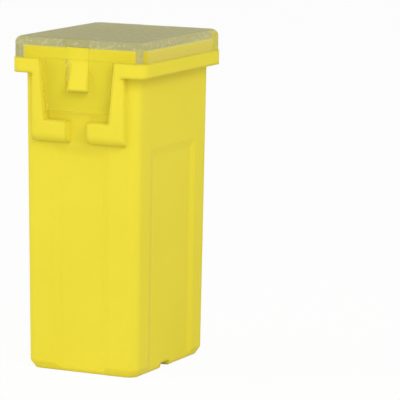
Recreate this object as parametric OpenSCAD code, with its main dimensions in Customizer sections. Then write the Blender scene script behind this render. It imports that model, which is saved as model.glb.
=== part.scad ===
// Cartridge fuse with two female terminals for 6.3 mm blades.
// A moulded housing carries a one-piece fuse element, and a clear cap clips
// over the neck of the housing with one tongue on each end face.
// Millimetres. Origin at the centre of the base, +Z towards the cap,
// X across the width, Y across the depth (the two latches face -Y and +Y).

/* [Fuse element] */
// Width of a terminal over its two rolled lobes
term_w = 7.8; // [7:0.1:10]
// Depth of a terminal over both of its sheets
term_d = 2.85; // [2.4:0.05:3.4]
// Height of a terminal along the blade
term_h = 8.4; // [6:0.1:12]
// Thickness of the sheet
sheet_t = 0.35; // [0.25:0.05:0.5]
// Outer radius of the free edge that curls back in
curl_r = 1; // [0.8:0.05:1.1]
// Gap between the two curled edges
curl_gap = 0.72; // [0.4:0.02:1.2]
// Angle that each free edge turns through
curl_turn = 125; // [95:5:140]
// Width of the strap above each terminal
strap_w = 4; // [3:0.1:4.4]
// Width of the link between the straps
link_w = 1.8; // [1.4:0.1:2.6]
// Height over which a strap narrows to the link
link_taper = 1.6; // [1:0.1:3]
// Radius of the two notches that make the link's weakest point
notch_r = 0.45; // [0.2:0.05:0.6]

/* [Housing inside] */
// Thickness of the web between the two chambers
web_t = 1.12; // [0.8:0.02:2]
// Height of the web above the base
web_h = 22; // [16:0.5:23]
// Height of the floor that the terminals stand on
floor_t = 3.7; // [2:0.1:5]
// Depth of the stem channel behind the blade slot
stem_d = 1.41; // [1:0.05:2]
// Width of the stem channel
stem_w = 4.5; // [3.5:0.1:5.2]
// Corner chamfer on one side of the stem channel
stem_c = 0.4; // [0.1:0.05:0.6]
// Opening of the blade slot across the blade's thickness
slot_t = 2.13; // [1.6:0.01:2.4]
// Side clearance of a terminal in its chamber
term_gap = 0.25; // [0.1:0.05:0.5]
// Running clearance behind the back of a terminal
back_gap = 0.05; // [0.02:0.01:0.2]
// Free room outside the rolled side of a terminal
term_room = 0.78; // [0.3:0.02:1.5]

/* [Housing body] */
// Height of the body from the base to the collar
body_h = 24.85; // [24:0.05:32]
// Wall between a chamber and the side face of the neck
wall_side = 1; // [0.8:0.05:2]
// Wall between a chamber and the end face of the neck
wall_end = 1.2; // [0.9:0.05:2]
// Step from the neck out to the body
neck_step = 0.15; // [0.05:0.01:0.4]
// Inset of each face at the base, for the mould draft
draft = 0.22; // [0.1:0.01:0.4]
// Radius of the upright corners of the body
body_r = 0.85; // [0.6:0.05:1.5]
// Radius of the upright corners of the neck
neck_r = 0.3; // [0.2:0.05:0.8]
// Height of the neck above the collar
neck_h = 1.05; // [0.8:0.05:2]
// Height of the bevel round the base
foot_h = 0.6; // [0.3:0.05:1]
// Inset of the bevel round the base
foot_in = 0.32; // [0.1:0.02:0.5]

/* [Collar] */
// Overhang of the collar on the side faces
collar_side = 0.85; // [0.6:0.05:1.5]
// Overhang of the collar on the end faces
collar_end = 0.75; // [0.6:0.05:1.2]
// Thickness of the collar
collar_t = 1.2; // [0.8:0.05:2]
// Corner radius of the collar
collar_r = 0.95; // [0.7:0.05:1.6]

/* [Latch frame] */
// Width of the latch channel at the collar
chan_top_w = 6.65; // [6:0.05:7.2]
// Width of the latch channel at the arms
chan_low_w = 5.95; // [5:0.05:6.6]
// Width of a rib at the collar
rib_w = 0.9; // [0.7:0.05:1.2]
// Radius of the outer edge of a rib
rib_r = 0.3; // [0.1:0.05:0.5]
// Distance from the collar down to the top of the arms
arm_drop = 3.8; // [3:0.05:5]
// Height of the flat front of an arm
arm_h = 1.05; // [0.8:0.05:2]
// Height of the rounded underside of an arm
arm_slope = 0.75; // [0.4:0.05:1.2]
// Gap between the two arms
arm_gap = 1.9; // [1:0.1:3]
// Width of the catch
catch_w = 1.8; // [1.4:0.1:2.4]
// Distance from the collar down to the ledge of the catch
catch_drop = 1.3; // [0.8:0.05:1.8]
// Overhang of the ledge of the catch
catch_out = 0.65; // [0.4:0.05:0.7]

/* [Recesses] */
// Depth of the shallow panels
panel_t = 0.2; // [0.1:0.02:0.3]
// Width of the ramp round a panel
panel_ramp = 0.7; // [0.4:0.05:1]
// Width of the flat of the panels on the end faces
panel_end_w = 3.8; // [2:0.1:5]
// Width of the flat of the panels on the side faces
panel_side_w = 6.84; // [4:0.01:8]
// Height of the panels on the side faces
panel_side_h = 18.85; // [12:0.05:23]
// Distance of the end panels below the arms
panel_gap = 0.25; // [0.1:0.05:1]
// Width of the pocket in the base at each side face
pocket_w = 1.5; // [1.2:0.1:2]
// Distance from the middle of the body forward to the middle of the pocket
pocket_y = 0.6; // [0:0.1:0.8]
// Length of the pocket in from the side face
pocket_in = 2; // [1:0.1:2.4]
// Height of the pocket
pocket_h = 0.4; // [0.3:0.05:0.5]

/* [Cap] */
// Thickness of the cap's plate
plate_t = 0.7; // [0.5:0.05:1.5]
// Inset of the cap from the edge of the collar
cap_in = 0.05; // [0.02:0.01:0.2]
// Corner radius of the cap
cap_r = 1; // [0.7:0.05:1.6]
// Clearance between the skirt and the neck
skirt_gap = 0.05; // [0.02:0.01:0.15]
// Clearance between a tongue and the end face
tongue_gap = 0.05; // [0.02:0.01:0.15]
// Thickness of a tongue
tongue_t = 0.6; // [0.4:0.05:0.65]
// Side clearance of a tongue in its channel
tongue_side = 0.1; // [0.05:0.01:0.3]
// Clearance between the end of a tongue and the arms
tongue_end = 0.8; // [0.2:0.05:1]
// Side clearance of the catch in the window of a tongue
window_side = 0.15; // [0.05:0.05:0.3]
// Clearance between the ledge of the catch and the window's sill
window_sill = 0.05; // [0.02:0.01:0.15]
// Width of the notch in the edge of the plate
mark_w = 2.5; // [1.5:0.1:4]
// Depth of the notch in the edge of the plate
mark_in = 0.6; // [0.3:0.05:0.75]

/* [Hidden] */
seg = 12;
over = 1;
// Chamber and slots, as distances from the centre
cham_x = term_w / 2 + term_gap;
web_y = web_t / 2;
slot_y = web_y + stem_d;
back_y = slot_y - sheet_t;
cham_y = back_y + term_d + term_room;
// Outside faces, as distances from the centre
neck_x = cham_x + wall_side;
neck_y = cham_y + wall_end;
body_x = neck_x + neck_step;
body_y = neck_y + neck_step;
coll_x = body_x + collar_side;
coll_y = body_y + collar_end;
cap_x = coll_x - cap_in;
cap_y = coll_y - cap_in;
// Heights
coll_z = body_h + collar_t;
cut_z = coll_z + over;
neck_z = coll_z + neck_h;
top_z = neck_z + plate_t;
arm_z = body_h - arm_drop;
catch_z = body_h - catch_drop;
sill_z = catch_z - window_sill;
link_z = web_h;
draft_a = atan(draft / body_h);
// Latch channel: half width at any height, from its two stated widths
chan_slope = (chan_top_w - chan_low_w) / 2 / arm_drop;
rib_x = chan_top_w / 2 + rib_w;
tongue_y = body_y + tongue_gap;

function chan(z) = chan_low_w / 2 + (z - arm_z) * chan_slope;

function arc(cx, cy, r, a0, a1, n) =
    [for (i = [0:n]) [cx + r * cos(a0 + (a1 - a0) * i / n), cy + r * sin(a0 + (a1 - a0) * i / n)]];

function flip(pts) = [for (i = [len(pts) - 1:-1:0]) [-pts[i][0], pts[i][1]]];

function rrect(x, y, r) = concat(
    arc(x - r, y - r, r, 0, 90, seg),
    arc(r - x, y - r, r, 90, 180, seg),
    arc(r - x, r - y, r, 180, 270, seg),
    arc(x - r, r - y, r, 270, 360, seg));

// Upright block with rounded corners, given by its half sizes
module block(x, y, r, z0, z1) {
    translate([0, 0, z0])
        linear_extrude(z1 - z0)
            polygon(rrect(x, y, r));
}

// Box from two corners
module box(a, b) {
    translate(a)
        cube(b - a);
}

// Outline in the X-Z plane, thickened from y0 to y1
module upright(pts, y0, y1) {
    translate([0, y1, 0])
        rotate([90, 0, 0])
            linear_extrude(y1 - y0)
                polygon(pts);
}

// Outline in the Y-Z plane, thickened from x0 to x1
module sideways(pts, x0, x1) {
    translate([x0, 0, 0])
        rotate([90, 0, 90])
            linear_extrude(x1 - x0)
                polygon(pts);
}

// The same shape on both end faces
module both_ends() {
    for (m = [0, 1])
        mirror([0, m, 0])
            children();
}

// The same shape on both side faces
module both_sides() {
    for (m = [0, 1])
        mirror([m, 0, 0])
            children();
}

// Body with drafted faces and a bevelled foot, cut flat at the base
module body_block() {
    fx = foot_in / foot_h;
    low_x = body_x - draft;
    low_y = body_y - draft;
    thin = 0.02;
    intersection() {
        hull() {
            block(low_x - foot_in - fx * over, low_y - foot_in - fx * over, body_r, -over, thin - over);
            block(low_x, low_y, body_r, foot_h, foot_h + thin);
            block(body_x, body_y, body_r, body_h, body_h + thin);
        }
        box([-3 * body_x, -3 * body_y, 0], [3 * body_x, 3 * body_y, body_h]);
    }
}

// Shallow panel with ramped edges, sunk in a face whose outward normal is +Y
module panel(face, flat_w, height) {
    out = panel_ramp / panel_t;
    h = flat_w / 2;
    wide = h + panel_ramp + out * over;
    foot = face - draft;
    translate([0, foot, 0])
        rotate([-draft_a, 0, 0])
            intersection() {
                translate([0, 0, -over])
                    linear_extrude(height + 2 * over)
                        polygon([[-h, -panel_t], [h, -panel_t], [wide, over], [-wide, over]]);
                sideways([
                    [-2 * panel_t, -over],
                    [over, -over],
                    [over, height + out * over],
                    [-panel_t, height - panel_ramp],
                    [-2 * panel_t, height - panel_ramp]], -2 * wide, 2 * wide);
            }
}

// Body with its four shallow panels
module body_panels() {
    difference() {
        body_block();
        both_ends()
            panel(body_y, panel_end_w, arm_z - arm_h - arm_slope - panel_gap);
        for (a = [90, 270])
            rotate([0, 0, a])
                panel(body_x, panel_side_w, panel_side_h);
    }
}

// Rib and arm of the latch frame on the +X half of the +Y end face
module rib() {
    front = arm_z - arm_h;
    low = front - arm_slope;
    deep = body_y - over;
    swell = [for (i = [0:seg])
        let (a = 90 * i / seg)
        [body_y + collar_end * sin(a), front - arm_slope * cos(a)]];
    difference() {
        intersection() {
            upright([
                [arm_gap / 2, low],
                [rib_x, low],
                [rib_x, cut_z],
                [chan(cut_z), cut_z],
                [chan(arm_z), arm_z],
                [arm_gap / 2, arm_z]], deep, coll_y);
            sideways(concat(
                [[deep, low]],
                swell,
                [[coll_y, coll_z], [deep, coll_z]]), 0, rib_x);
        }
        translate([rib_x - rib_r, coll_y - rib_r, low - over])
            linear_extrude(body_h - low + over)
                polygon(concat(
                    arc(0, 0, rib_r, 90, 0, seg),
                    [[2 * rib_r, 0], [2 * rib_r, 2 * rib_r], [0, 2 * rib_r]]));
    }
}

// Wedge that the window of a tongue hooks over
module catch() {
    sideways([
        [body_y - over, catch_z],
        [body_y + catch_out, catch_z],
        [body_y, coll_z],
        [body_y - over, coll_z]], -catch_w / 2, catch_w / 2);
}

// Channel through the collar that a tongue passes down
module collar_channel() {
    upright([
        [-chan(arm_z), arm_z],
        [chan(arm_z), arm_z],
        [chan(cut_z), cut_z],
        [-chan(cut_z), cut_z]], body_y, coll_y + over);
}

// Blade slot and stem channel at one end, through the floor and up to the web
module slots() {
    s = stem_w / 2;
    box([-cham_x, slot_y, -over], [cham_x, slot_y + slot_t, floor_t + over]);
    translate([0, 0, -over])
        linear_extrude(web_h + 2 * over)
            polygon([
                [-s, web_y], [s, web_y], [s, slot_y + stem_c],
                [-s - 2 * stem_c, slot_y + stem_c], [-s, slot_y - stem_c]]);
}

module housing() {
    color("#E8D842")
        difference() {
            union() {
                body_panels();
                difference() {
                    block(coll_x, coll_y, collar_r, body_h, coll_z);
                    both_ends()
                        collar_channel();
                }
                block(neck_x, neck_y, neck_r, body_h, neck_z);
                both_ends()
                    both_sides()
                        rib();
                both_ends()
                    catch();
            }
            both_ends()
                box([-cham_x, back_y - back_gap, floor_t], [cham_x, cham_y, neck_z + over]);
            box([-cham_x, -cham_y, web_h], [cham_x, cham_y, neck_z + over]);
            both_ends()
                slots();
            both_sides()
                box(
                    [body_x - draft - pocket_in, -pocket_y - pocket_w / 2, -over],
                    [body_x + over, pocket_w / 2 - pocket_y, pocket_h]);
        }
}

// Rolled terminal: flat back, two lobes and the free edges curled back in
module terminal() {
    lobe_r = term_d / 2;
    lobe_x = term_w / 2 - lobe_r;
    curl_x = curl_gap / 2 + curl_r;
    half = concat(
        arc(lobe_x, lobe_r, lobe_r, -90, 90, 2 * seg),
        arc(curl_x, term_d - curl_r, curl_r, 90, 90 + curl_turn, 2 * seg),
        arc(curl_x, term_d - curl_r, curl_r - sheet_t, 90 + curl_turn, 90, 2 * seg),
        arc(lobe_x, lobe_r, lobe_r - sheet_t, 90, -90, 2 * seg));
    translate([0, back_y, floor_t])
        linear_extrude(term_h)
            polygon(concat(half, flip(half)));
}

// Straps and the link that arches over the web
module bridge() {
    low = floor_t + term_h - over;
    turn = link_z - link_taper;
    intersection() {
        sideways(concat(
            [[slot_y, low]],
            arc(0, link_z, slot_y, 0, 180, 3 * seg),
            [[-slot_y, low]],
            [[-back_y, low]],
            arc(0, link_z, back_y, 180, 0, 3 * seg),
            [[back_y, low]]), -strap_w, strap_w);
        upright([
            [-strap_w / 2, low - over],
            [strap_w / 2, low - over],
            [strap_w / 2, turn],
            [link_w / 2, link_z],
            [link_w / 2, link_z + 2 * slot_y],
            [-link_w / 2, link_z + 2 * slot_y],
            [-link_w / 2, link_z],
            [-strap_w / 2, turn]], -2 * slot_y, 2 * slot_y);
    }
}

module element() {
    color("#B87348")
        difference() {
            union() {
                both_ends()
                    terminal();
                bridge();
            }
            both_sides()
                translate([link_w / 2, 0, link_z])
                    cylinder(r = notch_r, h = 2 * slot_y, $fn = 32);
        }
}

// Tongue of the cap at one end, down through the channel to its sill
module tongue() {
    low = arm_z + tongue_end;
    upright([
        [tongue_side - chan(low), low],
        [chan(low) - tongue_side, low],
        [chan(coll_z) - tongue_side, coll_z],
        [chan(coll_z) - tongue_side, neck_z],
        [tongue_side - chan(coll_z), neck_z],
        [tongue_side - chan(coll_z), coll_z]], tongue_y, tongue_y + tongue_t);
}

// Window of a tongue and the notch above it in the edge of the plate
module window() {
    w = catch_w / 2 + window_side;
    box([-w, neck_y, sill_z], [w, coll_y + over, neck_z]);
    box([-mark_w / 2, cap_y - mark_in, neck_z], [mark_w / 2, coll_y + over, top_z + over]);
}

module cap() {
    color([0.79, 0.79, 0.6, 0.6])
        difference() {
            union() {
                difference() {
                    block(cap_x, cap_y, cap_r, coll_z, top_z);
                    block(neck_x + skirt_gap, neck_y + skirt_gap, neck_r + skirt_gap, coll_z - over, neck_z);
                }
                both_ends()
                    tongue();
            }
            both_ends()
                window();
        }
}

housing();
element();
cap();
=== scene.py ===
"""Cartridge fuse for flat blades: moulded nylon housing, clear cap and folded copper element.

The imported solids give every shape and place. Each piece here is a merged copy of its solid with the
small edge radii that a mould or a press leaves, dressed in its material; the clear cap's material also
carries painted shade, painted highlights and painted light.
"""

import logging
import math
from dataclasses import dataclass, field
from enum import Enum
from typing import Any, Callable

import bmesh
import bpy
from mathutils import Matrix, Vector


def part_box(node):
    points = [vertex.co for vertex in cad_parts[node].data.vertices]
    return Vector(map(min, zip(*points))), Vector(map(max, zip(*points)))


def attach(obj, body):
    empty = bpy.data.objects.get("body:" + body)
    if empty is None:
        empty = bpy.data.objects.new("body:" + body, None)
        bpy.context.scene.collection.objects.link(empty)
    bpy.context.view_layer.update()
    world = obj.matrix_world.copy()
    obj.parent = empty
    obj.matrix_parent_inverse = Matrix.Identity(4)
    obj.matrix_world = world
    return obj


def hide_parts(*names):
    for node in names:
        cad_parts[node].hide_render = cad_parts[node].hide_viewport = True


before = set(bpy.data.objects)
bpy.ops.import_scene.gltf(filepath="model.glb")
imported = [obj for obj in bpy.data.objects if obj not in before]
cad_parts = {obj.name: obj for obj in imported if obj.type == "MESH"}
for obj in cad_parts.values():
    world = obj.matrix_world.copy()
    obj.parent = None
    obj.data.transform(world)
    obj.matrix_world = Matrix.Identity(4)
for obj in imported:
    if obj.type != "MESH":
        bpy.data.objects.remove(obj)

LOG = logging.getLogger("cartridge_fuse")
MM = 0.001
ROOT = "root"
WHITE = (1.0, 1.0, 1.0, 1.0)
# What lies closer than this counts as touching.
NEAR = 0.01 * MM
# A cosine this close to nought or one counts as square or level.
NEAR_COS = 0.01
# Corners of loose triangles closer than this are one point.
MERGE_MM = 0.0005
# Triangles that turn by less than this are one flat face.
FLAT_DEG = 0.3
# An edge turns by more than this; the facets of a curve turn by less.
SHARP_DEG = 12.0
# Faces that turn by less than this share one smooth surface.
SMOOTH_DEG = 14.0
# Nearly all of a noise lies between these two.
NOISE_LOW = 0.3
NOISE_HIGH = 0.7

# Lowest and highest corner, in metres.
Box = tuple[Vector, Vector]


class Side(Enum):
    """Which way a face must look to be picked."""

    UP = (0.0, 0.0, 1.0)
    DOWN = (0.0, 0.0, -1.0)


class Kind(Enum):
    """What is picked in a mesh."""

    EDGE = "EDGE"
    FACE = "FACE"


class Limit(Enum):
    """On which side of a flat limit a finish lies."""

    UNDER = "LESS_THAN"
    OVER = "GREATER_THAN"


def linear(hex_colour: str) -> tuple[float, float, float, float]:
    """Turns an sRGB hex colour into linear light.

    Args:
        hex_colour: Six hex digits, with or without a leading hash.

    Returns:
        Red, green, blue and an alpha of one, in linear light.
    """
    digits = hex_colour.lstrip("#")
    out = []
    for start in (0, 2, 4):
        value = int(digits[start:start + 2], 16) / 255.0
        out.append(value / 12.92 if value <= 0.04045 else ((value + 0.055) / 1.055) ** 2.4)
    return (out[0], out[1], out[2], 1.0)


def add_node(tree: bpy.types.NodeTree, kind: str, settings: dict[str, Any] | None = None,
             inputs: dict[str | int, Any] | None = None) -> bpy.types.Node:
    """Adds one node with its settings, its socket values and the links into it.

    Args:
        tree: Node tree that the node goes into.
        kind: Blender's type name of the node.
        settings: Properties of the node itself.
        inputs: Socket name or number to a value, or to an output socket that is linked to it.

    Returns:
        The new node.
    """
    node = tree.nodes.new(kind)
    for key, value in (settings or {}).items():
        setattr(node, key, value)
    for key, value in (inputs or {}).items():
        if isinstance(value, bpy.types.NodeSocket):
            tree.links.new(value, node.inputs[key])
        else:
            node.inputs[key].default_value = value
    return node


def new_material(name: str) -> tuple[bpy.types.Material, bpy.types.NodeTree]:
    """Makes an empty node material.

    Args:
        name: Name of the material.

    Returns:
        The material and its node tree.
    """
    material = bpy.data.materials.new(name)
    material.use_nodes = True
    material.node_tree.nodes.clear()
    return material, material.node_tree


def mark_seen(tree: bpy.types.NodeTree) -> bpy.types.NodeSocket:
    """Marks the rays that show a backdrop: straight, in a mirror or through a clear wall.

    Args:
        tree: Node tree of the backdrop.

    Returns:
        Socket that is one for those rays and zero for the light on the fuse.
    """
    path = add_node(tree, "ShaderNodeLightPath")
    direct = add_node(tree, "ShaderNodeMath", {"operation": "MAXIMUM"},
                      {0: path.outputs["Is Camera Ray"], 1: path.outputs["Is Transmission Ray"]})
    seen = add_node(tree, "ShaderNodeMath", {"operation": "MAXIMUM"},
                    {0: direct.outputs[0], 1: path.outputs["Is Glossy Ray"]})
    return seen.outputs[0]


@dataclass(frozen=True)
class MouldedNylon:
    """Glass-free nylon 66, injection moulded and dyed through: opaque, satin, softly lit inside."""

    colour: str = "#EADC42"
    shade: str = "#E3D43A"
    # Melt that flows round the cores leaves patches of this size.
    flow_mm: float = 7.0
    # A spark-eroded grain is finer than this; it is drawn as coarse as it needs to show.
    grain_mm: float = 0.22
    grain_deep_mm: float = 0.01
    # The light rolls over a moulding edge within this distance.
    corner_mm: float = 0.45
    corner_samples: int = 8
    roughness: float = 0.45
    gloss: float = 0.06
    ior: float = 1.53
    # Light enters the nylon a little, blue less than red and green.
    inner_light: float = 0.06
    inner_mm: float = 0.5
    inner_reach: tuple[float, float, float] = (1.0, 0.95, 0.4)

    def build(self) -> bpy.types.Material:
        """Builds the material: a faint flow pattern in the colour and a fine spark-eroded grain.

        Returns:
            The finished material.
        """
        material, tree = new_material("nylon_66_moulded")
        place = add_node(tree, "ShaderNodeTexCoord")
        flow = add_node(tree, "ShaderNodeTexNoise", {},
                        {"Vector": place.outputs["Object"], "Scale": 1.0 / (self.flow_mm * MM),
                         "Detail": 2.0, "Roughness": 0.5})
        tint = add_node(tree, "ShaderNodeMix", {"data_type": "RGBA"},
                        {0: flow.outputs["Fac"], 6: linear(self.shade), 7: linear(self.colour)})
        grain = add_node(tree, "ShaderNodeTexNoise", {},
                         {"Vector": place.outputs["Object"], "Scale": 1.0 / (self.grain_mm * MM),
                          "Detail": 3.0, "Roughness": 0.6})
        gloss = add_node(tree, "ShaderNodeMapRange", {},
                         {"Value": grain.outputs["Fac"], "From Min": NOISE_LOW, "From Max": NOISE_HIGH,
                          "To Min": self.roughness - 0.05, "To Max": self.roughness + 0.06})
        corner = add_node(tree, "ShaderNodeBevel", {"samples": self.corner_samples},
                          {"Radius": self.corner_mm * MM})
        bump = add_node(tree, "ShaderNodeBump", {},
                        {"Height": grain.outputs["Fac"], "Strength": 0.12,
                         "Distance": self.grain_deep_mm * MM, "Normal": corner.outputs["Normal"]})
        body = add_node(tree, "ShaderNodeBsdfPrincipled", {},
                        {"Base Color": tint.outputs[2], "Roughness": gloss.outputs["Result"],
                         "IOR": self.ior, "Specular IOR Level": self.gloss,
                         "Normal": bump.outputs["Normal"],
                         "Subsurface Weight": self.inner_light,
                         "Subsurface Scale": self.inner_mm * MM,
                         "Subsurface Radius": self.inner_reach})
        add_node(tree, "ShaderNodeOutputMaterial", {}, {"Surface": body.outputs["BSDF"]})
        return material


@dataclass(frozen=True)
class ClearPolycarbonate:
    """Clear polycarbonate, injection moulded: glossy walls, matt top painted olive, smoky seen
    lengthways.

    The plate is matt, its olive a painted shade: the yellow housing in shadow seen through it. The posts
    at the two front corners and one rear corner are matt too and carry painted light: pale light that
    the clear walls carry along at the posts, the housing's yellow refracted at the rear corner. Their
    limits are distances inward from the box of the piece.
    """

    colour: str = "#FCFCF2"
    # Olive of the matt top: painted shade, the shaded yellow housing seen through the plate.
    matt: str = "#9A963E"
    # Pale painted highlight: the glints on the rim and the light carried along the walls at the front
    # posts.
    painted_pale_light: str = "#D6D4A4"
    # Painted refraction: the housing's yellow in the rear right corner.
    painted_gleam: str = "#DCCE30"
    # The matt finish of the plate fades in from the first depth under the top to the second.
    plate_mm: float = 0.72
    plate_full_mm: float = 0.6
    # The rim's painted glints fade out from the first depth to the second; this much is left on the top.
    rim_mm: float = 0.06
    rim_end_mm: float = 0.01
    rim_left: float = 0.15
    # A painted glint grows where the noise rises from the first value to the second; the rim between the
    # glints has this share of their pale painted highlight.
    painted_glint_from: float = 0.5
    painted_glint_to: float = 0.62
    painted_glint_base: float = 0.5
    # The posts reach this far in from the left, the right and the front; the last value is the share of
    # pale painted light on them, for the light that the clear walls carry along.
    post_left_mm: float = 1.2
    post_right_mm: float = 0.71
    post_front_mm: float = 0.43
    post_painted_light: float = 0.4
    # The housing's yellow, refracted through the rear right corner, is painted there; these are its
    # limits.
    gleam_right_mm: float = 0.9
    gleam_back_mm: float = 2.0
    gleam_top_mm: float = 0.08
    # The low end of a tongue lets only a share of the light out, as the edge of a clear plate does.
    shade_from_mm: float = 0.01
    shade_to_mm: float = 0.02
    shade_clear: float = 0.4
    # What is seen lengthways through a wall turns smoky.
    smoke: str = "#C8C945"
    smoke_per_mm: float = 0.06
    # The walls are uneven where the melt cooled.
    ripple_mm: float = 1.6
    ripple_deep_mm: float = 0.04
    # The etched grain is finer than this; it is drawn as coarse as it needs to show.
    grain_mm: float = 0.3
    grain_even: float = 0.85
    roughness: float = 0.03
    matt_roughness: float = 0.5
    matt_clear: float = 0.35
    ior: float = 1.585
    gloss: float = 0.08
    mirror_tint: str = "#807840"

    def mark(self, tree: bpy.types.NodeTree, axes: bpy.types.Node,
             limits: tuple[tuple[str, Limit, float], ...]) -> bpy.types.NodeSocket:
        """Marks the part of the piece that lies within flat limits.

        Args:
            tree: Node tree of the material.
            axes: Node that gives the place on the piece as X, Y and Z.
            limits: Axis, side and place of each limit, the place in metres.

        Returns:
            Socket that is one within all the limits and zero elsewhere.
        """
        within = None
        for axis, side, limit in limits:
            test = add_node(tree, "ShaderNodeMath", {"operation": side.value},
                            {0: axes.outputs[axis], 1: limit}).outputs[0]
            if within is None:
                within = test
            else:
                within = add_node(tree, "ShaderNodeMath", {"operation": "MULTIPLY"},
                                  {0: within, 1: test}).outputs[0]
        return within

    def mark_posts(self, tree: bpy.types.NodeTree, axes: bpy.types.Node,
                   box: Box) -> bpy.types.NodeSocket:
        """Marks the posts at the two front corners, where pale light is painted.

        Args:
            tree: Node tree of the material.
            axes: Node that gives the place on the piece as X, Y and Z.
            box: Lowest and highest corner of the piece.

        Returns:
            Socket that is one on the posts.
        """
        low, high = box
        front = ("Y", Limit.UNDER, low.y + self.post_front_mm * MM)
        left = self.mark(tree, axes, (("X", Limit.UNDER, low.x + self.post_left_mm * MM), front))
        right = self.mark(tree, axes, (("X", Limit.OVER, high.x - self.post_right_mm * MM), front))
        return add_node(tree, "ShaderNodeMath", {"operation": "MAXIMUM"}, {0: left, 1: right}).outputs[0]

    def mark_corner(self, tree: bpy.types.NodeTree, axes: bpy.types.Node,
                    box: Box) -> bpy.types.NodeSocket:
        """Marks the rear right corner, below the upper face, where the housing's yellow is painted.

        Args:
            tree: Node tree of the material.
            axes: Node that gives the place on the piece as X, Y and Z.
            box: Lowest and highest corner of the piece.

        Returns:
            Socket that is one at that corner.
        """
        high = box[1]
        return self.mark(tree, axes, (("X", Limit.OVER, high.x - self.gleam_right_mm * MM),
                                      ("Y", Limit.OVER, high.y - self.gleam_back_mm * MM),
                                      ("Z", Limit.UNDER, high.z - self.gleam_top_mm * MM)))

    def paint_glints(self, tree: bpy.types.NodeTree, height: bpy.types.NodeSocket,
              grain: bpy.types.NodeSocket, top: bpy.types.NodeSocket, box: Box) -> bpy.types.NodeSocket:
        """Paints pale glints over the rim of the plate: a painted highlight.

        Args:
            tree: Node tree of the material.
            height: Height on the piece.
            grain: Noise of the etched grain.
            top: Share of the plate's matt finish.
            box: Lowest and highest corner of the piece.

        Returns:
            Socket with the share of the pale painted highlight.
        """
        high = box[1].z
        rim = add_node(tree, "ShaderNodeMapRange", {},
                       {"Value": height, "From Min": high - self.rim_mm * MM,
                        "From Max": high - self.rim_end_mm * MM, "To Min": 1.0, "To Max": self.rim_left})
        glint = add_node(tree, "ShaderNodeMapRange", {},
                         {"Value": grain, "From Min": self.painted_glint_from, "From Max": self.painted_glint_to,
                          "To Min": self.painted_glint_base, "To Max": 1.0})
        ring = add_node(tree, "ShaderNodeMath", {"operation": "MULTIPLY"},
                        {0: rim.outputs["Result"], 1: top})
        painted_glints = add_node(tree, "ShaderNodeMath", {"operation": "MULTIPLY"},
                           {0: ring.outputs[0], 1: glint.outputs["Result"]})
        return painted_glints.outputs[0]

    def pass_light(self, tree: bpy.types.NodeTree, height: bpy.types.NodeSocket,
                   body: bpy.types.Node, box: Box) -> bpy.types.NodeSocket:
        """Lets the light on the fuse through the clear piece, except at the low end of the tongues.

        Args:
            tree: Node tree of the material.
            height: Height on the piece.
            body: Shader of the polycarbonate itself.
            box: Lowest and highest corner of the piece.

        Returns:
            Socket of the shader that is see-through for shadows and for light from the sides.
        """
        low = box[0].z
        path = add_node(tree, "ShaderNodeLightPath")
        lit = add_node(tree, "ShaderNodeMath", {"operation": "MAXIMUM"},
                       {0: path.outputs["Is Shadow Ray"], 1: path.outputs["Is Diffuse Ray"]})
        above = add_node(tree, "ShaderNodeMapRange", {},
                         {"Value": height, "From Min": low + self.shade_from_mm * MM,
                          "From Max": low + self.shade_to_mm * MM,
                          "To Min": self.shade_clear, "To Max": 1.0})
        passed = add_node(tree, "ShaderNodeMath", {"operation": "MULTIPLY"},
                          {0: lit.outputs[0], 1: above.outputs["Result"]})
        through = add_node(tree, "ShaderNodeBsdfTransparent", {}, {"Color": linear(self.colour)})
        both = add_node(tree, "ShaderNodeMixShader", {},
                        {0: passed.outputs[0], 1: body.outputs["BSDF"], 2: through.outputs[0]})
        return both.outputs[0]

    def build(self, box: Box) -> bpy.types.Material:
        """Builds the material: a refracting body that lets lamps through and darkens with depth.

        Args:
            box: Lowest and highest corner of the piece.

        Returns:
            The finished material.
        """
        material, tree = new_material("polycarbonate_clear_moulded")
        place = add_node(tree, "ShaderNodeTexCoord")
        axes = add_node(tree, "ShaderNodeSeparateXYZ", {}, {0: place.outputs["Object"]})
        height = axes.outputs["Z"]
        top = add_node(tree, "ShaderNodeMapRange", {},
                       {"Value": height, "From Min": box[1].z - self.plate_mm * MM,
                        "From Max": box[1].z - self.plate_full_mm * MM, "To Min": 0.0, "To Max": 1.0})
        grain = add_node(tree, "ShaderNodeTexNoise", {},
                         {"Vector": place.outputs["Object"], "Scale": 1.0 / (self.grain_mm * MM),
                          "Detail": 3.0, "Roughness": 0.6})
        even = add_node(tree, "ShaderNodeMapRange", {},
                        {"Value": grain.outputs["Fac"], "From Min": NOISE_LOW, "From Max": NOISE_HIGH,
                         "To Min": self.grain_even, "To Max": 1.0})
        # The front posts and the rear right corner take the matt finish so that painted light shows on
        # them: pale light run along the walls, and the housing's yellow.
        post = self.mark_posts(tree, axes, box)
        corner = self.mark_corner(tree, axes, box)
        ends = add_node(tree, "ShaderNodeMath", {"operation": "MAXIMUM"}, {0: post, 1: corner})
        matt_and_painted = add_node(tree, "ShaderNodeMath", {"operation": "MAXIMUM"},
                          {0: top.outputs["Result"], 1: ends.outputs[0]})
        haze_and_painted_light = add_node(tree, "ShaderNodeMath", {"operation": "MULTIPLY"},
                        {0: matt_and_painted.outputs[0], 1: even.outputs["Result"]})
        # Painted light: pale light at the posts and painted glints on the rim.
        painted_post_light = add_node(tree, "ShaderNodeMath", {"operation": "MULTIPLY"}, {0: post, 1: self.post_painted_light})
        painted_glints = self.paint_glints(tree, height, grain.outputs["Fac"], top.outputs["Result"], box)
        pale = add_node(tree, "ShaderNodeMath", {"operation": "MAXIMUM"},
                        {0: painted_post_light.outputs[0], 1: painted_glints})
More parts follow.
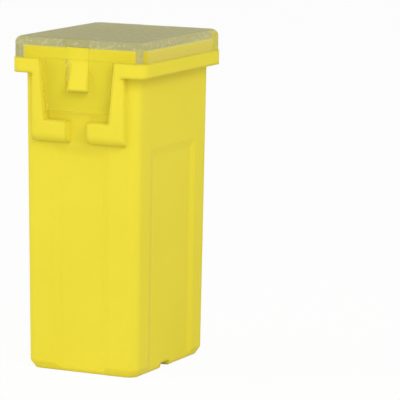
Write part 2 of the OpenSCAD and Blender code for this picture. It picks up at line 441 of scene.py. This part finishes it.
        # The olive is painted shade: the shaded yellow housing seen through the plate.
        olive = add_node(tree, "ShaderNodeMix", {"data_type": "RGBA"},
                         {0: pale.outputs[0], 6: linear(self.matt), 7: linear(self.painted_pale_light)})
        # Painted refraction: the housing's yellow in the rear right corner of the cap.
        mixed = add_node(tree, "ShaderNodeMix", {"data_type": "RGBA"},
                         {0: corner, 6: olive.outputs[2], 7: linear(self.painted_gleam)})
        tint = add_node(tree, "ShaderNodeMix", {"data_type": "RGBA"},
                        {0: haze_and_painted_light.outputs[0], 6: linear(self.colour), 7: mixed.outputs[2]})
        clear = add_node(tree, "ShaderNodeMapRange", {},
                         {"Value": haze_and_painted_light.outputs[0], "To Min": 1.0, "To Max": self.matt_clear})
        rough = add_node(tree, "ShaderNodeMapRange", {},
                         {"Value": haze_and_painted_light.outputs[0], "To Min": self.roughness,
                          "To Max": self.matt_roughness})
        ripple = add_node(tree, "ShaderNodeTexNoise", {},
                          {"Vector": place.outputs["Object"], "Scale": 1.0 / (self.ripple_mm * MM),
                           "Detail": 2.0, "Roughness": 0.5})
        bump = add_node(tree, "ShaderNodeBump", {},
                        {"Height": ripple.outputs["Fac"], "Strength": 0.15,
                         "Distance": self.ripple_deep_mm * MM})
        body = add_node(tree, "ShaderNodeBsdfPrincipled", {},
                        {"Base Color": tint.outputs[2], "Roughness": rough.outputs["Result"],
                         "IOR": self.ior, "Transmission Weight": clear.outputs["Result"],
                         "Specular IOR Level": self.gloss, "Specular Tint": linear(self.mirror_tint),
                         "Normal": bump.outputs["Normal"]})
        depth = add_node(tree, "ShaderNodeVolumeAbsorption", {},
                         {"Color": linear(self.smoke), "Density": self.smoke_per_mm / MM})
        add_node(tree, "ShaderNodeOutputMaterial", {},
                 {"Surface": self.pass_light(tree, height, body, box), "Volume": depth.outputs[0]})
        return material


@dataclass(frozen=True)
class CopperStrip:
    """Copper alloy strip, rolled, stamped and folded: bright metal with a light brown tarnish."""

    bright: str = "#E0A684"
    tarnish: str = "#B8744E"
    stain_mm: float = 2.4
    # Rolling lines are finer than this; they are drawn as coarse as they need to show.
    roll_mm: float = 0.12
    roll_deep_mm: float = 0.01
    # The lines are drawn out along the strip by the inverse of this.
    roll_stretch: float = 0.06
    roughness: float = 0.26

    def build(self) -> bpy.types.Material:
        """Builds the material: stained patches over fine rolling lines that run up the strip.

        Returns:
            The finished material.
        """
        material, tree = new_material("copper_alloy_rolled_strip")
        place = add_node(tree, "ShaderNodeTexCoord")
        stain = add_node(tree, "ShaderNodeTexNoise", {},
                         {"Vector": place.outputs["Object"], "Scale": 1.0 / (self.stain_mm * MM),
                          "Detail": 4.0, "Roughness": 0.6})
        tint = add_node(tree, "ShaderNodeMix", {"data_type": "RGBA"},
                        {0: stain.outputs["Fac"], 6: linear(self.bright), 7: linear(self.tarnish)})
        stretch = add_node(tree, "ShaderNodeMapping", {},
                           {"Vector": place.outputs["Object"], "Scale": (1.0, 1.0, self.roll_stretch)})
        lines = add_node(tree, "ShaderNodeTexNoise", {},
                         {"Vector": stretch.outputs["Vector"], "Scale": 1.0 / (self.roll_mm * MM),
                          "Detail": 2.0, "Roughness": 0.5})
        gloss = add_node(tree, "ShaderNodeMapRange", {},
                         {"Value": stain.outputs["Fac"], "From Min": NOISE_LOW, "From Max": NOISE_HIGH,
                          "To Min": self.roughness - 0.04, "To Max": self.roughness + 0.12})
        bump = add_node(tree, "ShaderNodeBump", {},
                        {"Height": lines.outputs["Fac"], "Strength": 0.15,
                         "Distance": self.roll_deep_mm * MM})
        body = add_node(tree, "ShaderNodeBsdfPrincipled", {},
                        {"Base Color": tint.outputs[2], "Metallic": 1.0,
                         "Roughness": gloss.outputs["Result"], "Normal": bump.outputs["Normal"]})
        add_node(tree, "ShaderNodeOutputMaterial", {}, {"Surface": body.outputs["BSDF"]})
        return material


@dataclass(frozen=True)
class StudioPaper:
    """White paper sweep: matt, seen as white paper, with the shadow of what stands on it."""

    colour: str = "#F4F4F2"
    # What the paper throws back on the fuse.
    bounce: str = "#EEEEEA"
    # Where the paper is seen, this share of it is plain white; the rest takes light and shadow.
    glow: float = 0.94

    def build(self) -> bpy.types.Material:
        """Builds the material: matt white, partly lit by itself where it is seen or mirrored.

        Returns:
            The finished material.
        """
        material, tree = new_material("studio_paper_white")
        seen = mark_seen(tree)
        share = add_node(tree, "ShaderNodeMath", {"operation": "MULTIPLY"}, {0: seen, 1: self.glow})
        tone = add_node(tree, "ShaderNodeMix", {"data_type": "RGBA"},
                        {0: seen, 6: linear(self.bounce), 7: linear(self.colour)})
        matt = add_node(tree, "ShaderNodeBsdfDiffuse", {}, {"Color": tone.outputs[2]})
        white = add_node(tree, "ShaderNodeEmission", {}, {"Color": WHITE, "Strength": 1.0})
        both = add_node(tree, "ShaderNodeMixShader", {},
                        {0: share.outputs[0], 1: matt.outputs[0], 2: white.outputs[0]})
        add_node(tree, "ShaderNodeOutputMaterial", {}, {"Surface": both.outputs[0]})
        return material


def is_sharp(edge: bmesh.types.BMEdge) -> bool:
    """Tells an edge of the piece from the facets of its curves.

    Args:
        edge: Edge of the mesh.

    Returns:
        True where the two faces of the edge turn by more than a facet does.
    """
    return edge.is_manifold and edge.calc_face_angle() > math.radians(SHARP_DEG)


def widest_top(node: str) -> float:
    """Finds how high a solid keeps its full width, such as the upper face of a collar.

    Args:
        node: Name of the solid.

    Returns:
        Height of its highest point at full width, in metres.
    """
    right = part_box(node)[1].x
    points = [vert.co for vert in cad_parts[node].data.vertices]
    return max(point.z for point in points if point.x > right - NEAR)


@dataclass
class Piece:
    """One moulded or stamped piece, made from a merged copy of its solid.

    Attributes:
        node: Name of the solid that the piece stands for.
        name: Name of the finished piece.
        slot: Material slot of the record. It is not used.
        obj: The finished object, once it is built.
    """

    node: str
    name: str
    slot: str
    obj: bpy.types.Object | None = field(default=None, repr=False)

    def copy_solid(self) -> None:
        """Copies the solid's mesh, merges its loose triangles and clears its flat faces."""
        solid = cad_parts[self.node]
        self.obj = bpy.data.objects.new(self.name, solid.data.copy())
        self.obj.data.name = self.name
        self.obj.data.materials.clear()
        bpy.context.scene.collection.objects.link(self.obj)
        self.activate()
        bpy.ops.mesh.customdata_custom_splitnormals_clear()
        bpy.ops.object.mode_set(mode="EDIT")
        bpy.ops.mesh.select_all(action="SELECT")
        bpy.ops.mesh.remove_doubles(threshold=MERGE_MM * MM)
        bpy.ops.mesh.dissolve_limited(angle_limit=math.radians(FLAT_DEG))
        self.let_go()

    def activate(self) -> None:
        """Makes the piece the only selected object and the active one."""
        bpy.ops.object.select_all(action="DESELECT")
        self.obj.select_set(True)
        bpy.context.view_layer.objects.active = self.obj

    def pick(self, kind: Kind, accept: Callable[[Any], bool]) -> int:
        """Selects the edges or faces that a test accepts and leaves the piece in edit mode.

        Args:
            kind: What is picked.
            accept: Test of one edge or face.

        Returns:
            How many are selected.
        """
        self.activate()
        bpy.ops.object.mode_set(mode="EDIT")
        bpy.ops.mesh.select_mode(type=kind.value)
        bpy.ops.mesh.select_all(action="DESELECT")
        mesh = bmesh.from_edit_mesh(self.obj.data)
        count = 0
        for part in mesh.edges if kind is Kind.EDGE else mesh.faces:
            if accept(part):
                part.select_set(True)
                count += 1
        bmesh.update_edit_mesh(self.obj.data)
        return count

    def let_go(self) -> None:
        """Deselects everything and leaves edit mode."""
        bpy.ops.mesh.select_all(action="DESELECT")
        bpy.ops.object.mode_set(mode="OBJECT")

    def shift_faces(self, side: Side, height: float, rise_mm: float) -> None:
        """Moves the flat faces at one height up or down, with the walls that stand on them.

        Args:
            side: Which way the faces look.
            height: Height of the faces, in metres.
            rise_mm: How far they go up, or down where it is negative.
        """

        def is_level(face: bmesh.types.BMFace) -> bool:
            """Tells whether a face lies at that height and looks that way.

            Args:
                face: Face of the piece.

            Returns:
                True for a face that moves.
            """
            level = abs(face.calc_center_median().z - height) < NEAR
            return level and face.normal.dot(Vector(side.value)) > 1.0 - NEAR_COS

        count = self.pick(Kind.FACE, is_level)
        if count:
            bpy.ops.transform.translate(value=(0.0, 0.0, rise_mm * MM))
        self.let_go()
        LOG.info("%s: %d flat faces moved by %.3f mm", self.name, count, rise_mm)

    def swell_faces(self, accept: Callable[[bmesh.types.BMFace], bool], rise_mm: float) -> None:
        """Moves the faces that a test accepts outward along their normals.

        Args:
            accept: Test of one face.
            rise_mm: How far they move.
        """
        count = self.pick(Kind.FACE, accept)
        if count:
            bpy.ops.transform.shrink_fatten(value=rise_mm * MM)
        self.let_go()
        LOG.info("%s: %d wall faces moved by %.3f mm", self.name, count, rise_mm)

    def round_edges(self, accept: Callable[[bmesh.types.BMEdge], bool], radius_mm: float,
                    steps: int) -> None:
        """Rounds the edges that a test accepts by one radius.

        Args:
            accept: Test of one edge.
            radius_mm: Radius of the rounding.
            steps: Facets across it.
        """
        count = self.pick(Kind.EDGE, accept)
        bpy.ops.mesh.bevel(offset=radius_mm * MM, segments=steps, affect="EDGES", clamp_overlap=True)
        self.let_go()
        LOG.info("%s: %d edges rounded by %.2f mm", self.name, count, radius_mm)

    def smooth(self) -> None:
        """Shades the piece smooth between its sharp edges, its flat faces kept flat."""
        self.activate()
        bpy.ops.object.shade_smooth_by_angle(angle=math.radians(SMOOTH_DEG))
        weigh = self.obj.modifiers.new("flat_faces", "WEIGHTED_NORMAL")
        weigh.mode = "FACE_AREA"
        weigh.weight = 100
        weigh.keep_sharp = True
        bpy.ops.object.modifier_apply(modifier=weigh.name)

    def dress(self, material: bpy.types.Material) -> None:
        """Gives the piece its material and puts it in its solid's place.

        Args:
            material: The finish of the whole piece.
        """
        self.obj.data.materials.append(material)
        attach(self.obj, ROOT)
        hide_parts(self.node)

    def report(self) -> None:
        """Logs the piece and its size."""
        size = [round(v / MM, 2) for v in self.obj.dimensions]
        LOG.info("%s: %d faces, %s mm", self.name, len(self.obj.data.polygons), size)


@dataclass
class Housing(Piece):
    """Yellow moulded housing: body, collar, neck, latch frames, catches and blade openings."""

    node: str = "housing"
    name: str = "housing_moulding"
    slot: str = "housing_nylon"
    edge_mm: float = 0.2
    steps: int = 8
    # The neck stays this far below the plate that rests on it.
    neck_relief_mm: float = 0.03
    # The front and right neck walls meet the clear skirt, which then shows their yellow.
    neck_swell_mm: float = 0.055
    # They lie this far above the collar and from the axis, and look this much front or right.
    neck_lift_mm: float = 0.2
    neck_reach_mm: float = 4.4
    neck_turn: float = 0.3
    # The latch frames lie above this height, within this half width.
    frame_low_mm: float = 19.2
    frame_half_mm: float = 3.6
    # The ends of the arms stand at this half gap, out from this depth.
    arm_gap_mm: float = 0.95
    arm_deep_mm: float = 6.58
    # The outer rim of the collar lies within this band at the ends, or beyond this half width.
    rim_band_mm: float = 1.5
    rim_side_mm: float = 5.6

    def build(self, finish: MouldedNylon, collar_top: float) -> None:
        """Builds the housing, its neck a hair below the plate that rests on it.

        Args:
            finish: The nylon.
            collar_top: Height of the collar's upper face, in metres.
        """
        _, end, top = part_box(self.node)[1]

        def on_frame(edge: bmesh.types.BMEdge) -> bool:
            """Accepts the front edges of the latch frames and the collar's upper rim.

            Args:
                edge: Edge of the housing.

            Returns:
                True for an edge that gets the moulding radius.
            """
            if not is_sharp(edge) or not edge.is_convex:
                return False
            ends = [vert.co for vert in edge.verts]
            across = abs(ends[0].x + ends[1].x) / 2
            deep = abs(ends[0].y + ends[1].y) / 2
            high = (ends[0].z + ends[1].z) / 2
            at_front = all(abs(point.y) > end - NEAR for point in ends)
            at_gap = all(abs(abs(point.x) - self.arm_gap_mm * MM) < NEAR for point in ends)
            at_arm = at_gap and deep > self.arm_deep_mm * MM
            in_frame = self.frame_low_mm * MM < high < collar_top and across < self.frame_half_mm * MM
            outside = deep > end - self.rim_band_mm * MM or across > self.rim_side_mm * MM
            on_rim = all(abs(point.z - collar_top) < NEAR for point in ends) and outside
            return (in_frame and (at_front or at_arm)) or on_rim

        def on_neck(face: bmesh.types.BMFace) -> bool:
            """Accepts the outer walls of the neck that the skirt bears against: front and right.

            Args:
                face: Face of the housing.

            Returns:
                True for a face of those walls.
            """
            middle = face.calc_center_median()
            upright = abs(face.normal.z) < NEAR_COS and middle.z > collar_top + self.neck_lift_mm * MM
            outer = face.normal.dot(Vector((middle.x, middle.y, 0.0))) > self.neck_reach_mm * MM
            met = face.normal.x > self.neck_turn or face.normal.y < -self.neck_turn
            return upright and outer and met

        self.copy_solid()
        self.shift_faces(Side.UP, top, -self.neck_relief_mm)
        self.swell_faces(on_neck, self.neck_swell_mm)
        self.round_edges(on_frame, self.edge_mm, self.steps)
        self.smooth()
        self.dress(finish.build())
        self.report()


@dataclass
class Cap(Piece):
    """Clear clip-on cap: plate, skirt and two tongues with their windows."""

    node: str = "cap"
    name: str = "cap_clear"
    slot: str = "cap_clear"
    # The skirt stays this far above the collar that it rests on.
    skirt_relief_mm: float = 0.03
    # The plate's upper rim is softer than every other edge of the cap.
    rim_mm: float = 0.55
    rim_steps: int = 8
    # The notches over the tongues lie within this half width.
    notch_half_mm: float = 1.4

    def build(self, finish: ClearPolycarbonate, collar_top: float) -> None:
        """Builds the cap, its skirt a hair above the collar that it rests on.

        Args:
            finish: The polycarbonate.
            collar_top: Height of the collar's upper face, in metres.
        """
        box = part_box(self.node)
        _, end, top = box[1]

        def on_rim(edge: bmesh.types.BMEdge) -> bool:
            """Accepts the outer edges of the plate's upper face, the notches left out.

            Args:
                edge: Edge of the cap.

            Returns:
                True for an edge of the rim.
            """
            level = all(abs(vert.co.z - top) < NEAR for vert in edge.verts)
            middle = (edge.verts[0].co + edge.verts[1].co) / 2
            notch = abs(middle.y) < end - NEAR and abs(middle.x) < self.notch_half_mm * MM
            return level and is_sharp(edge) and not notch

        self.copy_solid()
        self.shift_faces(Side.DOWN, collar_top, self.skirt_relief_mm)
        self.round_edges(on_rim, self.rim_mm, self.rim_steps)
        self.smooth()
        self.dress(finish.build(box))
        self.report()


@dataclass
class FuseElement(Piece):
    """Folded copper strip: two rolled terminals, their straps and the link over the web."""

    node: str = "element"
    name: str = "fuse_element"
    slot: str = "element_copper"
    edge_mm: float = 0.05
    steps: int = 2

    def build(self, finish: CopperStrip) -> None:
        """Builds the strip with the small radii that stamping leaves.

        Args:
            finish: The copper alloy.
        """
        self.copy_solid()
        self.round_edges(is_sharp, self.edge_mm, self.steps)
        self.smooth()
        self.dress(finish.build())
        self.report()


@dataclass(frozen=True)
class SoftBox:
    """Square soft box that faces the fuse.

    Attributes:
        name: Name of the lamp.
        place_mm: Where it hangs.
        size_mm: Length of its side.
        watts: Its power.
    """

    name: str
    place_mm: tuple[float, float, float]
    size_mm: float
    watts: float

    def hang(self, aim_mm: Vector, colour: str) -> None:
        """Hangs the soft box and turns it to the fuse.

        Args:
            aim_mm: Point that it faces.
            colour: Colour of its light.
        """
        data = bpy.data.lights.new(self.name, "AREA")
        data.shape = "SQUARE"
        data.size = self.size_mm * MM
        data.energy = self.watts
        data.color = linear(colour)[:3]
        lamp = bpy.data.objects.new(self.name, data)
        # The matt top would otherwise turn white with glare when it is seen from behind.
        lamp.visible_glossy = False
        place = Vector(self.place_mm)
        turn = (place - aim_mm).to_track_quat("Z", "Y").to_matrix().to_4x4()
        lamp.matrix_world = Matrix.Translation(place * MM) @ turn
        bpy.context.scene.collection.objects.link(lamp)


@dataclass
class Studio:
    """Paper floor, soft lamps and the camera."""

    # The camera looks from here, past the axis of the fuse, which stands left in the view.
    azimuth_deg: float = 26.14
    elevation_deg: float = 8.91
    roll_deg: float = 0.58
    lens_mm: float = 266.6
    distance_mm: float = 248.6
    aim_height_mm: float = 14.76
    aim_right_mm: float = 6.94
    aim_up_mm: float = -1.03
    sensor_mm: float = 36.0
    floor_m: float = 4.0
    floor_gap_mm: float = 0.02
    # Light of the sky on the fuse, where white is one.
    sky: float = 0.58
    lamp_colour: str = "#FFFBF4"
    lamps: tuple[SoftBox, ...] = (
        SoftBox("key_soft_box", (150.0, -180.0, 150.0), 200.0, 0.26),
        SoftBox("side_soft_box", (120.0, -90.0, 130.0), 60.0, 0.05),
        SoftBox("fill_soft_box", (-240.0, -120.0, 120.0), 200.0, 0.27),
    )
    # Light that runs along inside the clear walls turns back many times before it comes out.
    bounces: int = 32
    glossy_bounces: int = 24

    def build_camera(self) -> None:
        """Places the camera and makes it the scene's own."""
        az, el, roll = (math.radians(v) for v in (self.azimuth_deg, self.elevation_deg, self.roll_deg))
        back = Vector((math.sin(az) * math.cos(el), -math.cos(az) * math.cos(el), math.sin(el)))
        right = Vector((math.cos(az), math.sin(az), 0.0))
        up = back.cross(right)
        across = right * math.cos(roll) + up * math.sin(roll)
        over = up * math.cos(roll) - right * math.sin(roll)
        aim = Vector((0.0, 0.0, self.aim_height_mm)) + right * self.aim_right_mm + up * self.aim_up_mm
        place = (aim + back * self.distance_mm) * MM
        data = bpy.data.cameras.new("camera")
        data.lens = self.lens_mm
        data.sensor_width = self.sensor_mm
        data.clip_start = 0.01
        data.clip_end = 20.0
        camera = bpy.data.objects.new("camera", data)
        turn = Matrix((across, over, back)).transposed().to_4x4()
        camera.matrix_world = Matrix.Translation(place) @ turn
        bpy.context.scene.collection.objects.link(camera)
        bpy.context.scene.camera = camera

    def build_floor(self) -> None:
        """Lays the paper floor a hair under the fuse."""
        bpy.ops.object.select_all(action="DESELECT")
        bpy.ops.mesh.primitive_plane_add(size=self.floor_m, location=(0.0, 0.0, -self.floor_gap_mm * MM))
        floor = bpy.context.active_object
        floor.name = "paper_floor"
        floor.data.materials.append(StudioPaper().build())

    def build_sky(self) -> None:
        """Surrounds the fuse with even light, white where it is seen, mirrored or looked through at."""
        world = bpy.data.worlds.new("studio")
        bpy.context.scene.world = world
        world.use_nodes = True
        tree = world.node_tree
        tree.nodes.clear()
        soft = add_node(tree, "ShaderNodeBackground", {}, {"Color": WHITE, "Strength": self.sky})
        white = add_node(tree, "ShaderNodeBackground", {}, {"Color": WHITE, "Strength": 1.0})
        both = add_node(tree, "ShaderNodeMixShader", {},
                        {0: mark_seen(tree), 1: soft.outputs[0], 2: white.outputs[0]})
        add_node(tree, "ShaderNodeOutputWorld", {}, {"Surface": both.outputs[0]})

    def build(self) -> None:
        """Builds the camera, the floor and all the light."""
        self.build_camera()
        self.build_floor()
        self.build_sky()
        for lamp in self.lamps:
            lamp.hang(Vector((0.0, 0.0, self.aim_height_mm)), self.lamp_colour)
        scene = bpy.context.scene
        scene.view_settings.view_transform = "Standard"
        scene.cycles.max_bounces = self.bounces
        scene.cycles.glossy_bounces = self.glossy_bounces
        scene.cycles.transmission_bounces = self.bounces
        LOG.info("studio: camera, floor, sky and %d soft boxes", len(self.lamps))


def main() -> None:
    logging.basicConfig(level=logging.INFO, format="%(name)s: %(message)s")
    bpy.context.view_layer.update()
    collar_top = widest_top("housing")
    Housing().build(MouldedNylon(), collar_top)
    FuseElement().build(CopperStrip())
    Cap().build(ClearPolycarbonate(), collar_top)
    Studio().build()


if __name__ == "__main__":
    main()
